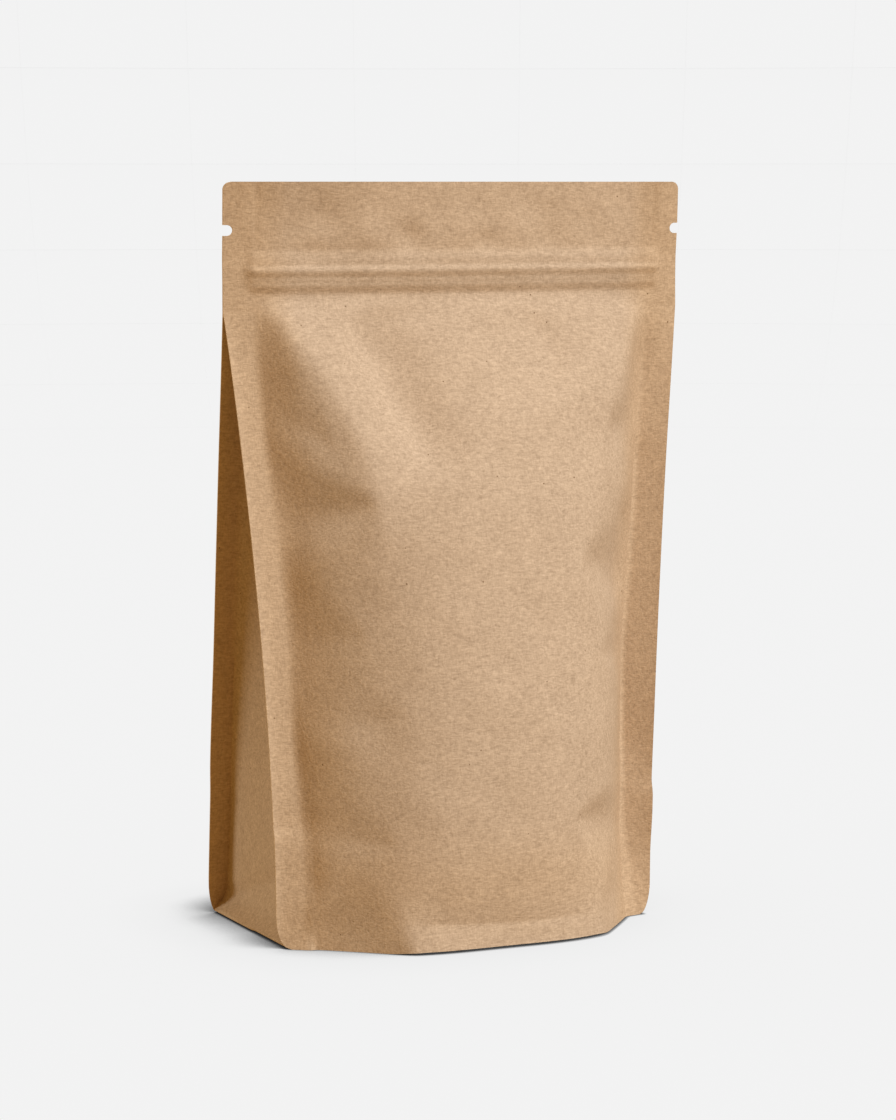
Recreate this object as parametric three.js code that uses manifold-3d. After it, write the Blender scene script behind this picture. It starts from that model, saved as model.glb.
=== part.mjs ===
import * as THREE from 'three';
import { mergeVertices } from 'three/addons/utils/BufferGeometryUtils.js';
import Module from 'manifold-3d';

// Stand-up paper pouch, filled and shut: a flat header with a press-to-close strip,
// rounded front and back panels, and folded-in sides between four seal fins.
// Millimetres, +Z up. The front faces -Y and the base rests on z = 0.

// Whole pouch
const HEIGHT = 228.6;
const HEADER_WIDTH = 152;
const HEADER_Y = -9;            // plane of the header, a little ahead of the middle of the foot
const HEADER_THICK = 1.0;
const FLOOR_WIDTH = 126;        // fin to fin at the floor
const FLOOR_SHIFT = -4;         // the foot stands this far left of the header

// Seal fins and the folded sides between them
const FIN_WIDTH = 9.5;
const FIN_THICK = 0.6;
const FIN_SPLIT_Z = 188.5;      // the front and back fins part below this height
const SPREAD_Z = 190;           // the panels spread apart below this height
const FRONT_FIN_RUN = 16.7;     // how far the front fins stand ahead of the header at the floor
const BACK_FIN_RUN = 39.9;      // how far the back fins stand behind it
const FLOOR_FIN_LEAN = 5;       // the fins slant outward by this much at the floor
const SIDE_FOLD = 20;           // depth of the side fold at its top
const CORNER_SEAL = 27;         // height over which the side panel spreads to the fin tips
const CORNER_RISE = 9;          // height of the rounded fin corner at the floor
const CORNER_CUT = 2.5;         // width of the rounded fin corner at the floor

// Front and back panels
const BELLY_TOP = 196;          // the panels leave the flat header here
const BELLY_RISE = 33;          // how quickly they swell below it
const FRONT_BELLY = 28;
const BACK_BELLY = 21.5;
const FOOT_HEIGHT = 45;         // over this height the round belly turns into the flat-fronted foot
const FOOT_SLACK = 0.2;         // part of the belly lost at the floor
const FOOT_FLAT = 0.36;         // part of the half width that stays flat at the floor
const SEAL_GROOVE_Z = 10;       // middle of the hollow above the bottom seal
const SEAL_GROOVE_HEIGHT = 5;
const SEAL_GROOVE_DEPTH = 1.2;

// Press-to-close strip
const STRIP_END = 7.6;          // distance of its ends from the side edges
const STRIP_BOTTOM = 196.3;
const STRIP_TOP = 208.8;
const STRIP_RELIEF = 0.5;
const RIDGE_Z = 202.9;
const RIDGE_HEIGHT = 3.8;
const RIDGE_RELIEF = 0.9;
const STRIP_EDGE = 0.8;

// Cut outline of the header
const TOP_CORNER_RADIUS = 2.4;
const NOTCH_Z = 214.2;
const NOTCH_HEIGHT = 3.2;
const NOTCH_DEPTH = 2.9;

// Base
const RIM_INSET = 0.98;
const GROOVE_INSET = 0.945;
const PAD_INSET = 0.8;
const BASE_GROOVE = 1.8;

// Fineness of the faceted surface
const ACROSS = 24;
const BODY_LEVELS = 30;
const FOLD_STEPS = 3;

// Folds that run in from a seam. The fold's bottom line goes from height "seam" at the fin
// to the point "tip" of the way across the half panel at height "tipZ". At the fin it
// reaches "up" above that line and "down" below it.
const FRONT_FOLDS = [
  { side: -1, seam: 137, tip: 0.59, tipZ: 134, up: 55, down: 17, depth: 0.62 },
  { side: -1, seam: 93, tip: 0.76, tipZ: 103, up: 25, down: 16, depth: 0.45 },
  { side: -1, seam: 54, tip: 0.82, tipZ: 55, up: 11, down: 12, depth: 0.4 },
  { side: -1, seam: 23, tip: 0.8, tipZ: 25, up: 11, down: 12, depth: 0.4 },
  { side: 1, seam: 158, tip: 0.72, tipZ: 153, up: 32, down: 9, depth: 0.45 },
  { side: 1, seam: 112, tip: 0.54, tipZ: 116, up: 26, down: 13, depth: 0.5 },
  { side: 1, seam: 36, tip: 0.48, tipZ: 38, up: 12, down: 10, depth: 0.4 },
];
const BACK_FOLDS = [
  { side: -1, seam: 150, tip: 0.66, tipZ: 146, up: 38, down: 14, depth: 0.5 },
  { side: -1, seam: 78, tip: 0.7, tipZ: 84, up: 24, down: 16, depth: 0.4 },
  { side: 1, seam: 128, tip: 0.58, tipZ: 132, up: 46, down: 18, depth: 0.5 },
  { side: 1, seam: 58, tip: 0.74, tipZ: 60, up: 22, down: 14, depth: 0.4 },
];

const clamp = THREE.MathUtils.clamp;
const smooth = THREE.MathUtils.smoothstep;

// Half width, middle and fin planes of the pouch at one height
function levelAt(z) {
  const k = clamp(z / SPREAD_Z, 0, 1);
  const flat = HEADER_WIDTH / 2 + 0.4;
  return {
    half: flat - (flat - FLOOR_WIDTH / 2) * (1 - k ** 1.7),
    mid: FLOOR_SHIFT * (1 - k),
    front: HEADER_Y - HEADER_THICK / 2 - FRONT_FIN_RUN * (1 - k ** 1.5),
    back: HEADER_Y + HEADER_THICK / 2 + BACK_FIN_RUN * (1 - k ** 1.65),
    foot: clamp(1 - z / FOOT_HEIGHT, 0, 1) ** 2,
  };
}

// Rounding of the fin corners at the floor
function cornerCut(z) {
  const t = clamp(1 - z / CORNER_RISE, 0, 1);
  return CORNER_CUT * (1 - Math.sqrt(1 - t * t));
}

// How much of the belly is left after the folds
function foldFactor(folds, across, half, z) {
  let left = 1;
  for (const fold of folds) {
    const reach = clamp((fold.side * across / half - fold.tip) / (1 - fold.tip), 0, 1);
    const line = fold.tipZ + (fold.seam - fold.tipZ) * reach;
    const away = z > line ? (z - line) / fold.up : (line - z) / fold.down;
    left *= 1 - fold.depth * Math.max(0, reach - away);
  }
  return left;
}

// Raised strip and its ridge, on both faces of the header
function stripRelief(x, z) {
  const ends = smooth(HEADER_WIDTH / 2 - STRIP_END - Math.abs(x), 0, STRIP_EDGE);
  const middle = (STRIP_BOTTOM + STRIP_TOP) / 2;
  const band = smooth((STRIP_TOP - STRIP_BOTTOM) / 2 - Math.abs(z - middle), -0.1, STRIP_EDGE);
  const ridge = smooth(RIDGE_HEIGHT / 2 - Math.abs(z - RIDGE_Z), -0.1, STRIP_EDGE);
  return ends * (STRIP_RELIEF * band + RIDGE_RELIEF * ridge);
}

// Distance of a panel outward from its fin plane
function panelRise(x, z, belly, folds) {
  const level = levelAt(z);
  const inner = level.half - FIN_WIDTH;
  const across = x - level.mid;
  const part = Math.min(Math.abs(across) / inner, 1);
  const swell = belly * (1 - Math.exp(-Math.max(BELLY_TOP - z, 0) / BELLY_RISE));
  const round = 1 - part * part;
  const footed = 1 - smooth(part, FOOT_FLAT, 1);
  const shape = round + (footed - round) * level.foot;
  const lean = clamp((level.half - Math.abs(across)) / FIN_WIDTH, 0, 1) * FLOOR_FIN_LEAN * level.foot;
  const groove = SEAL_GROOVE_DEPTH * footed * Math.exp(-(((z - SEAL_GROOVE_Z) / SEAL_GROOVE_HEIGHT) ** 2));
  const full = swell * (1 - FOOT_SLACK * level.foot) * shape * foldFactor(folds, across, inner, z);
  return full + lean - groove + stripRelief(x, z);
}

function frontY(x, z) {
  return levelAt(z).front - panelRise(x, z, FRONT_BELLY, FRONT_FOLDS);
}

function backY(x, z) {
  return levelAt(z).back + panelRise(x, z, BACK_BELLY, BACK_FOLDS);
}

// Places across the pouch at one height: fin tip, fin root, then closer steps towards the roots
function placesAcross(z) {
  const level = levelAt(z);
  const inner = level.half - FIN_WIDTH;
  const tip = level.half - cornerCut(z);
  const places = [level.mid - tip];
  for (let i = 0; i <= ACROSS; i += 1) {
    places.push(level.mid + inner * Math.sin((i / ACROSS - 0.5) * Math.PI));
  }
  places.push(level.mid + tip);
  return places;
}

// Outline of the pouch at one height, before the sides are folded in
function outlineAt(z) {
  const places = placesAcross(z);
  const front = places.map((x) => new THREE.Vector3(x, frontY(x, z), z));
  const back = places.map((x) => new THREE.Vector3(x, backY(x, z), z));
  return front.concat(back.reverse());
}

// Closed surface through a stack of outlines that all have the same number of points
function loft(rings) {
  const count = rings[0].length;
  const positions = rings.flat().flatMap((point) => point.toArray());
  const index = [];
  for (let r = 0; r + 1 < rings.length; r += 1) {
    for (let i = 0; i < count; i += 1) {
      const a = r * count + i;
      const b = r * count + (i + 1) % count;
      index.push(a, b, b + count, a, b + count, a + count);
    }
  }
  const flat = (ring) => ring.map((point) => new THREE.Vector2(point.x, point.y));
  const last = (rings.length - 1) * count;
  for (const [a, b, c] of THREE.ShapeUtils.triangulateShape(flat(rings[0]), [])) {
    index.push(c, b, a);
  }
  for (const [a, b, c] of THREE.ShapeUtils.triangulateShape(flat(rings.at(-1)), [])) {
    index.push(last + a, last + b, last + c);
  }
  const geometry = new THREE.BufferGeometry();
  geometry.setAttribute('position', new THREE.Float32BufferAttribute(positions, 3));
  geometry.setIndex(index);
  return geometry;
}

// Heights of the outlines between the floor and the header, closer together near the floor
function bodyHeights() {
  const heights = [];
  for (let i = 1; i <= BODY_LEVELS; i += 1) {
    const t = i / BODY_LEVELS;
    heights.push(SPREAD_Z * (0.75 * t + 0.25 * t * t));
  }
  return heights;
}

// Body: base pad, base groove, rim, then the levels of the panels and the header
function bodyGeometry() {
  const floor = outlineAt(0);
  const centre = new THREE.Vector3(FLOOR_SHIFT, 0, 0);
  const inset = (scale, z) => floor.map((point) => {
    const moved = point.clone().sub(centre).multiplyScalar(scale).add(centre);
    return moved.setZ(z);
  });
  const rings = [inset(PAD_INSET, 0), inset(GROOVE_INSET, BASE_GROOVE), inset(RIM_INSET, 0), floor];
  rings.push(...bodyHeights().map(outlineAt));
  const ridge = [RIDGE_Z - RIDGE_HEIGHT / 2, RIDGE_Z + RIDGE_HEIGHT / 2];
  const steps = [STRIP_BOTTOM, ridge[0], ridge[1] - STRIP_EDGE, STRIP_TOP - STRIP_EDGE];
  rings.push(outlineAt((SPREAD_Z + STRIP_BOTTOM) / 2));
  for (const step of steps) {
    rings.push(outlineAt(step));
    rings.push(outlineAt(step + STRIP_EDGE));
  }
  rings.push(outlineAt(HEIGHT));
  return loft(rings);
}

// Space between the front and back fin on one side, down to the folded side panel
function sideSpace(side) {
  const outlineOf = (z) => {
    const level = levelAt(z);
    const spread = clamp(1 - z / CORNER_SEAL, 0, 1);
    const root = FIN_WIDTH - (FIN_WIDTH + 0.5) * spread * spread;
    const fold = SIDE_FOLD * (z / SPREAD_Z) * smooth(z, 0, CORNER_SEAL * 2);
    const lean = FLOOR_FIN_LEAN * level.foot / FIN_WIDTH;
    const placeAt = (inset) => level.mid + side * (level.half - inset);
    const frontAt = (inset) => level.front + FIN_THICK - lean * inset;
    const backAt = (inset) => level.back - FIN_THICK + lean * inset;
    const points = [new THREE.Vector3(placeAt(-FIN_WIDTH), frontAt(-FIN_WIDTH), z)];
    for (let i = -FOLD_STEPS; i <= FOLD_STEPS; i += 1) {
      const t = i / FOLD_STEPS;
      const inset = root + fold * (1 - Math.abs(t) ** 1.3);
      const y = THREE.MathUtils.lerp(frontAt(root), backAt(root), (t + 1) / 2);
      points.push(new THREE.Vector3(placeAt(inset), y, z));
    }
    points.push(new THREE.Vector3(placeAt(-FIN_WIDTH), backAt(-FIN_WIDTH), z));
    return side > 0 ? points.reverse() : points;
  };
  const below = bodyHeights().filter((z) => z < FIN_SPLIT_Z);
  return loft([0, ...below, FIN_SPLIT_Z].map(outlineOf));
}

// Front outline of the cut paper with its two tear notches, as a thick plate
function cutPlate() {
  const half = HEADER_WIDTH / 2;
  const radius = NOTCH_HEIGHT / 2;
  const inside = half - NOTCH_DEPTH + radius;
  const corner = TOP_CORNER_RADIUS;
  const shape = new THREE.Shape();
  shape.moveTo(-half, -5);
  shape.lineTo(half, -5);
  shape.lineTo(half, NOTCH_Z - radius);
  shape.absarc(inside, NOTCH_Z, radius, -Math.PI / 2, Math.PI / 2, true);
  shape.lineTo(half, NOTCH_Z + radius);
  shape.absarc(half - corner, HEIGHT - corner, corner, 0, Math.PI / 2, false);
  shape.absarc(corner - half, HEIGHT - corner, corner, Math.PI / 2, Math.PI, false);
  shape.lineTo(-half, NOTCH_Z + radius);
  shape.absarc(-inside, NOTCH_Z, radius, Math.PI / 2, -Math.PI / 2, true);
  shape.lineTo(-half, NOTCH_Z - radius);
  shape.closePath();
  const depth = HEADER_WIDTH;
  const plate = new THREE.ExtrudeGeometry(shape, { depth, bevelEnabled: false, curveSegments: 6 });
  return plate.rotateX(Math.PI / 2).translate(0, depth / 2, 0);
}

const wasm = await Module();
wasm.setup();

function toSolid(geometry) {
  geometry.deleteAttribute('normal');
  geometry.deleteAttribute('uv');
  const merged = mergeVertices(geometry, 1e-4);
  return new wasm.Manifold(new wasm.Mesh({
    numProp: 3,
    vertProperties: new Float32Array(merged.attributes.position.array),
    triVerts: new Uint32Array(merged.index.array),
  }));
}

function toGeometry(solid) {
  const mesh = solid.getMesh();
  const geometry = new THREE.BufferGeometry();
  geometry.setAttribute('position', new THREE.BufferAttribute(new Float32Array(mesh.vertProperties), 3));
  geometry.setIndex(new THREE.BufferAttribute(new Uint32Array(mesh.triVerts), 1));
  geometry.computeVertexNormals();
  return geometry;
}

const body = toSolid(bodyGeometry());
const cut = body.intersect(toSolid(cutPlate()));
const folded = cut.subtract(toSolid(sideSpace(-1))).subtract(toSolid(sideSpace(1)));

const kraftPaper = new THREE.MeshStandardMaterial({ color: 0xc6a27c, roughness: 0.85, metalness: 0 });
const pouch = new THREE.Mesh(toGeometry(folded), kraftPaper);
pouch.name = 'pouch';

const model = new THREE.Group();
model.name = 'paper_pouch';
model.add(pouch);

export default model;
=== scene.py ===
# %% [markdown]
# # A filled stand-up pouch of brown kraft paper
# This lesson builds one paper pouch, shut and standing by itself. The measured solid comes in first and
# stays as it is. Everything that is made here is in metres and lies where that solid lies, so the paper
# skin can simply take its place.

# %% Load the measured solid
import math
from collections import namedtuple

import bmesh
import bpy
import numpy as np
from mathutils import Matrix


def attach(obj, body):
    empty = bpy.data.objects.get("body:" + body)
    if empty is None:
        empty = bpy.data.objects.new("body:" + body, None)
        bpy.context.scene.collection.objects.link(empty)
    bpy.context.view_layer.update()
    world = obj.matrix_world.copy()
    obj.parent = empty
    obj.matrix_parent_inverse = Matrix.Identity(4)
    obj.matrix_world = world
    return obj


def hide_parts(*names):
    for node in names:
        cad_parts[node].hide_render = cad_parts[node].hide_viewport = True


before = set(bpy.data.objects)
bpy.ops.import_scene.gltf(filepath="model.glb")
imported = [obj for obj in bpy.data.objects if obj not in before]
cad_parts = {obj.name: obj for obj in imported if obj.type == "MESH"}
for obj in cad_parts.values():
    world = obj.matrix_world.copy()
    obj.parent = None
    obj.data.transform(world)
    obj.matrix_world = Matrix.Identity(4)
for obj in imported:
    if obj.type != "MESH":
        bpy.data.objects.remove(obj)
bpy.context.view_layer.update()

MM = 0.001
scene = bpy.context.scene

# %% [markdown]
# ## The camera
# The photograph was taken from the front left, a little above the header and with a long lens. Nine points
# of the pouch (header corners, notches, strip ends and fin feet) were enough to work the camera out, so its
# place, turn and focal length are set as numbers and nothing is tuned by eye.

# %% Camera
PHOTO_HEIGHT = 1120
FOCAL_PIXELS = 3487.6
SENSOR_WIDTH = 36
CAMERA_PLACE = (-0.44733, -0.98023, 0.22831)
CAMERA_TURN = math.radians(24.609)
CAMERA_DIP = math.radians(6.176)

bpy.ops.object.camera_add(location=CAMERA_PLACE, rotation=(math.pi / 2 - CAMERA_DIP, 0, -CAMERA_TURN))
camera = bpy.context.object
camera.name = "studio_camera"
camera.data.sensor_width = SENSOR_WIDTH
camera.data.lens = FOCAL_PIXELS / PHOTO_HEIGHT * SENSOR_WIDTH
scene.camera = camera
print("lens in mm:", round(camera.data.lens, 1))

# %% [markdown]
# ## The form of the pouch, height by height
# A real pouch is two flat sheets and two folded side sheets, sealed along four edges and then filled. The
# header stays flat, and below it the sheets part and swell. So one height tells nearly everything: how wide
# the pouch is there, where its front and back fins stand and how far the panels swell out between them.
# The numbers are in millimetres and repeat those of the measured solid. Only the header and the fins are
# thinner here.

# %% Widths and fin planes at a height
HEIGHT = 228.6
HEADER_HALF = 76.0
HEADER_Y = -9.0
HEADER_THICK = 0.9
FLOOR_HALF = 63.0
FLOOR_SHIFT = -4.0
FIN_WIDTH = 9.5
FIN_THICK = 0.45
FIN_SPLIT_Z = 188.5
SPREAD_Z = 190.0
FRONT_FIN_RUN = 16.7
BACK_FIN_RUN = 39.9
FOOT_HEIGHT = 45.0
HALF_POWER = 1.7
FRONT_FIN_POWER = 1.5
BACK_FIN_POWER = 1.65
Level = namedtuple("Level", "half middle front back foot")


def smooth(value, low, high):
    """Soft step from 0 at the low value to 1 at the high one."""
    t = np.clip((value - low) / (high - low), 0, 1)
    return t * t * (3 - 2 * t)


def level_at(z):
    """Half width, middle, front and back fin plane, and how much of the foot's shape there is at z."""
    k = np.clip(z / SPREAD_Z, 0, 1)
    half = HEADER_HALF - (HEADER_HALF - FLOOR_HALF) * (1 - k ** HALF_POWER)
    middle = FLOOR_SHIFT * (1 - k)
    front = HEADER_Y - HEADER_THICK / 2 - FRONT_FIN_RUN * (1 - k ** FRONT_FIN_POWER)
    back = HEADER_Y + HEADER_THICK / 2 + BACK_FIN_RUN * (1 - k ** BACK_FIN_POWER)
    foot = np.clip(1 - z / FOOT_HEIGHT, 0, 1) ** 2
    return Level(half, middle, front, back, foot)


for height in (0, 60, 120, 190):
    print("height", height, "half width and fins:", [round(float(v), 1) for v in level_at(height)])

# %% [markdown]
# ## The cut edge
# The header is cut with small rounded corners and a tear notch on each side, and the feet of the fins are
# rounded off. All three are only changes of the half width with height, so the edge of the sheet can be
# drawn as one function. The rows of the mesh are packed closely where the edge turns.

# %% Half width of the cut sheet
TOP_CORNER = 2.4
NOTCH_Z = 214.2
NOTCH_RADIUS = 1.6
NOTCH_DEPTH = 2.9
NOTCH_SPAN = 0.9999
FOOT_CORNER_RISE = 10.0
FOOT_CORNER_CUT = 3.4
LEFT_CORNER_CUT = 4.2


def edge_cut(z, round_foot):
    """How far the cut edge lies inside the plain width. The foot of one fin is cut rounder."""
    top = np.clip((z - (HEIGHT - TOP_CORNER)) / TOP_CORNER, 0, 1)
    corner = TOP_CORNER * (1 - np.sqrt(1 - top * top))
    across = (z - NOTCH_Z) / NOTCH_RADIUS
    slot = NOTCH_DEPTH - NOTCH_RADIUS + NOTCH_RADIUS * np.sqrt(np.clip(1 - across * across, 0, 1))
    notch = np.where(np.abs(across) < NOTCH_SPAN, slot, 0)
    foot = np.clip(1 - z / FOOT_CORNER_RISE, 0, 1)
    depth = np.where(round_foot, LEFT_CORNER_CUT, FOOT_CORNER_CUT)
    return corner + notch + depth * (1 - np.sqrt(1 - foot * foot))


print("edge cut at the notch and at the floor:", edge_cut(np.array([NOTCH_Z, 0.0]), False).round(2))

# %% [markdown]
# ## Folds, creases and dimples
# Paper can't stretch, so where a swelling panel meets a straight fin it buckles: three-cornered folds run in
# from the seam and end in a sharp tip on the belly, and long soft creases fan out from the ends of the strip.
# Each one is described by a few lengths. A cloth simulation would put them anywhere. Written this way, those
# of the front lie where the real pouch shows them.

# %% Relief helpers
LEAST_WIDTH = 1e-6
FOLD_TIP = 0.2


def soft_clip(value, width):
    """Zero below and the value itself above, with a rounded change over the width."""
    width = np.maximum(width, LEAST_WIDTH)
    between = (value + width) ** 2 / (4 * width)
    return np.where(value > width, value, np.where(value < -width, 0, between))


def rounded(value, radius):
    """Absolute value with a rounded tip."""
    return np.sqrt(value * value + radius * radius) - radius


def seam_fold(u, z, inner, side, seam, tip, tip_z, up, down, depth, bulge=1.0, soft=0.22, valley=0.1):
    """Part of the belly that one fold takes away: two faces that meet in a valley from seam to tip."""
    reach = np.clip((side * u / inner - tip) / (1 - tip), 0, 1)
    line = tip_z + (seam - tip_z) * reach
    above = np.clip((z - line) / up, 0, None) ** bulge
    below = np.clip((line - z) / down, 0, None)
    away = rounded(above + below, valley)
    return depth * soft_clip(reach - away, soft * smooth(reach, 0, FOLD_TIP))


def crease(u, z, start, end, left, right, height, bow=0.0, tip=0.5, fade=0.2):
    """A ridge from start to end, or a groove if the height is negative. It fades at its ends."""
    run_u, run_z = end[0] - start[0], end[1] - start[1]
    length = math.hypot(run_u, run_z)
    along = ((u - start[0]) * run_u + (z - start[1]) * run_z) / length ** 2
    off = ((z - start[1]) * run_u - (u - start[0]) * run_z) / length
    inside = np.clip(along, 0, 1)
    off = off - bow * 4 * inside * (1 - inside)
    fall = rounded(off / np.where(off > 0, left, right), tip)
    ends = smooth(along, -fade, fade) * (1 - smooth(along, 1 - fade, 1 + fade))
    return height * np.exp(-fall) * ends


def dimple(u, z, place, size, depth):
    """A soft round hollow."""
    return -depth * np.exp(-((u - place[0]) / size[0]) ** 2 - ((z - place[1]) / size[1]) ** 2)


print("a dimple 2 mm deep at its middle:", dimple(0.0, 100.0, (0, 100), (5, 5), 2.0))

# %% Slow unevenness
WAVES = 8
WAVE_TURN = 2.4
LONGEST_WAVE = 64
WAVE_SHRINK = 0.78
WAVE_STEEPNESS = 0.0026


def waviness(u, z, seed):
    """Slow unevenness of a handled sheet: a few long waves that run every way."""
    total = np.zeros_like(u)
    for i in range(WAVES):
        angle = seed + WAVE_TURN * i
        length = LONGEST_WAVE * WAVE_SHRINK ** i
        phase = (u * math.cos(angle) + z * math.sin(angle)) * 2 * math.pi / length
        total += WAVE_STEEPNESS * length * np.sin(phase + seed * (i + 1))
    return total


print("shortest wave in mm:", round(LONGEST_WAVE * WAVE_SHRINK ** (WAVES - 1), 1))

# %% Folds and creases of the front panel
FRONT_FOLDS = [
    dict(side=-1, seam=164, tip=0.75, tip_z=150, up=30, down=11, depth=0.27, bulge=1.2, soft=0.2),
    dict(side=-1, seam=127, tip=0.6, tip_z=133, up=19, down=15, depth=0.44, soft=0.15, valley=0.2),
    dict(side=-1, seam=92, tip=0.7, tip_z=94, up=22, down=21, depth=0.22, soft=0.2),
    dict(side=-1, seam=70, tip=0.5, tip_z=70, up=23, down=12, depth=0.08, soft=0.15),
    dict(side=-1, seam=35, tip=0.6, tip_z=32, up=17, down=10, depth=0.12, soft=0.3),
    dict(side=1, seam=156, tip=0.7, tip_z=153, up=33, down=18, depth=0.84, soft=0.3),
    dict(side=1, seam=108, tip=0.47, tip_z=113, up=25, down=36, depth=0.52, soft=0.2, valley=0.17),
    dict(side=1, seam=83, tip=0.65, tip_z=85, up=24, down=11, depth=0.35, soft=0.12),
    dict(side=1, seam=30, tip=0.43, tip_z=37, up=17, down=26, depth=0.38, soft=0.14, valley=0.16),
]
FRONT_CREASES = [
    dict(start=(-86, 205), end=(-36, 126), left=7, right=9, height=3, bow=12),
    dict(start=(-35, 185), end=(-16, 145), left=9, right=5, height=-6, tip=1.2),
    dict(start=(17, 187), end=(22, 167), left=6, right=22, height=-4, bow=6, tip=1.2, fade=0.4),
    dict(start=(65, 189), end=(52, 154), left=6, right=9, height=2.4, bow=-6),
    dict(start=(63, 123), end=(48, 102), left=9, right=12, height=-2.6, bow=3.5),
]
FRONT_DIMPLES = [
    dict(place=(-37, 66), size=(6.5, 7.5), depth=1.0),
]

# %% Folds and creases of the back panel
BACK_FOLDS = [
    dict(side=-1, seam=150, tip=0.64, tip_z=146, up=38, down=15, depth=0.42),
    dict(side=-1, seam=80, tip=0.6, tip_z=86, up=24, down=18, depth=0.36),
    dict(side=-1, seam=34, tip=0.74, tip_z=36, up=12, down=12, depth=0.2),
    dict(side=1, seam=128, tip=0.56, tip_z=133, up=44, down=20, depth=0.3, bulge=1.3),
    dict(side=1, seam=122, tip=0.66, tip_z=127, up=18, down=15, depth=0.3),
    dict(side=1, seam=60, tip=0.7, tip_z=63, up=20, down=15, depth=0.26),
    dict(side=1, seam=24, tip=0.76, tip_z=26, up=11, down=11, depth=0.18),
]
BACK_CREASES = [
    dict(start=(65, 192), end=(34, 128), left=9, right=8.6, height=3.2, bow=-5),
    dict(start=(50, 202), end=(12, 146), left=9, right=13, height=-4.2, bow=-2, tip=0.8),
    dict(start=(-62, 190), end=(-40, 150), left=6, right=9, height=1.8, tip=0.6),
    dict(start=(-14, 188), end=(-22, 160), left=12, right=12, height=-2.4, tip=0.8),
]
BACK_DIMPLES = [
    dict(place=(30, 84), size=(13, 9), depth=0.8),
    dict(place=(-18, 62), size=(14, 10), depth=0.6),
]
print("folds on the front and on the back:", len(FRONT_FOLDS), len(BACK_FOLDS))

# %% [markdown]
# ## The press-to-close strip
# The strip is a plastic profile between the two sheets. Outside it shows as a ramp, a round ridge and a lower
# band, and it stops short of the side edges in crimped ends. Its section is drawn as a few points, and the
# rows of the mesh are close enough there to follow it.

# %% Section of the strip
RIDGE_Z = 202.2
STRIP_SECTION = [
    (190, 0.0), (194.8, -0.2), (198.2, 0.55), (199.6, 0.7), (RIDGE_Z, 1.3), (203.8, 0.8), (205.4, 0.8),
    (208.8, 0.2), (222, 0.0),
]
STRIP_END = 7.6
STRIP_END_RUN = (-1.0, 1.2)
CRIMP_HEIGHT = 0.4
CRIMP_OUT = 0.6
CRIMP_WIDTH = 0.8
CRIMP_RISE = 3.2
SEAL_LINE = 9.4
SEAL_LINE_DEPTH = 0.16
SEAL_LINE_WIDTH = 0.8
SEAL_LINE_RUN = (206, 211)


def eased(z, stops):
    """Value at a height from a list of heights and values, without corners at the listed heights."""
    heights, values = (np.array(column, float) for column in zip(*stops))
    place = np.clip(np.searchsorted(heights, z) - 1, 0, len(heights) - 2)
    low, high = heights[place], heights[place + 1]
    return values[place] + (values[place + 1] - values[place]) * smooth(z, low, high)


def strip_relief(x, z):
    """The strip, the crimps at its ends and the pressed line beside each side seal."""
    ends = smooth(HEADER_HALF - STRIP_END - np.abs(x), *STRIP_END_RUN)
    section = eased(z, STRIP_SECTION)
    from_crimp = (np.abs(x) - HEADER_HALF + STRIP_END - CRIMP_OUT) / CRIMP_WIDTH
    crimp = np.exp(-from_crimp ** 2) * np.exp(-((z - RIDGE_Z) / CRIMP_RISE) ** 2)
    from_line = (np.abs(x) - HEADER_HALF + SEAL_LINE) / SEAL_LINE_WIDTH
    seal = np.exp(-from_line ** 2) * smooth(z, *SEAL_LINE_RUN)
    return ends * section + CRIMP_HEIGHT * crimp - SEAL_LINE_DEPTH * seal


print("strip relief on the ridge:", strip_relief(np.array([0.0]), np.array([RIDGE_Z])).round(2))

# %% [markdown]
# ## The fins
# Four sealed fins run down the edges. They aren't flat: the right front one flares forward and turns away
# from the light, the left front one slants back near the floor and curls forward at its edge higher up, and
# the roots of all four lean out to the foot. The bend changes with height and is given at a few heights for
# each fin, left (-1) and right (1).

# %% Turn and kinks of each fin
FLOOR_FIN_LEANS = (4.6, 3.8)
FLOOR_LEAN_POWER = 1.5
EDGE_CURLS = (-1.2, -0.25)
CURL_WIDTH = 2.5
CURL_FADE = (176, 192)
FRONT_TURNS = {
    -1: [(0, -0.3), (18, -0.45), (28, -0.5), (40, -0.37), (58, -0.25), (172, -0.1), (192, 0.0)],
    1: [(0, 0.25), (20, 0.38), (40, 0.46), (56, 0.7), (82, 0.6), (140, 0.5), (153, 0.36), (168, 0.36),
        (192, 0.0)],
}
BACK_TURNS = {
    -1: [(0, -0.1), (24, -0.1), (60, -0.1), (150, 0.0), (192, 0.0)],
    1: [(0, 0.0), (30, 0.12), (90, 0.3), (140, 0.22), (192, 0.0)],
}
FRONT_KINKS = [
    dict(side=1, low=26, high=40, sharp=8, gentle=2.5, push=1.1),
    dict(side=1, low=-20, high=22, sharp=0.9, gentle=22, push=0.8),
    dict(side=-1, low=-20, high=35, sharp=0.9, gentle=0.9, push=0.55),
]
BACK_KINKS = [
    dict(side=-1, low=43, high=70, sharp=6, gentle=18, push=0.7),
    dict(side=1, low=70, high=78, sharp=1.5, gentle=1.5, push=-0.8),
]


def by_side(side, stops, z):
    """Value at a height from a list for the left side and one for the right."""
    return np.where(side < 0, eased(z, stops[-1]), eased(z, stops[1]))


def floor_lean(side, z):
    """How far the root of a fin leans out near the floor."""
    return np.where(side < 0, *FLOOR_FIN_LEANS) * level_at(z).foot ** FLOOR_LEAN_POWER


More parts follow.
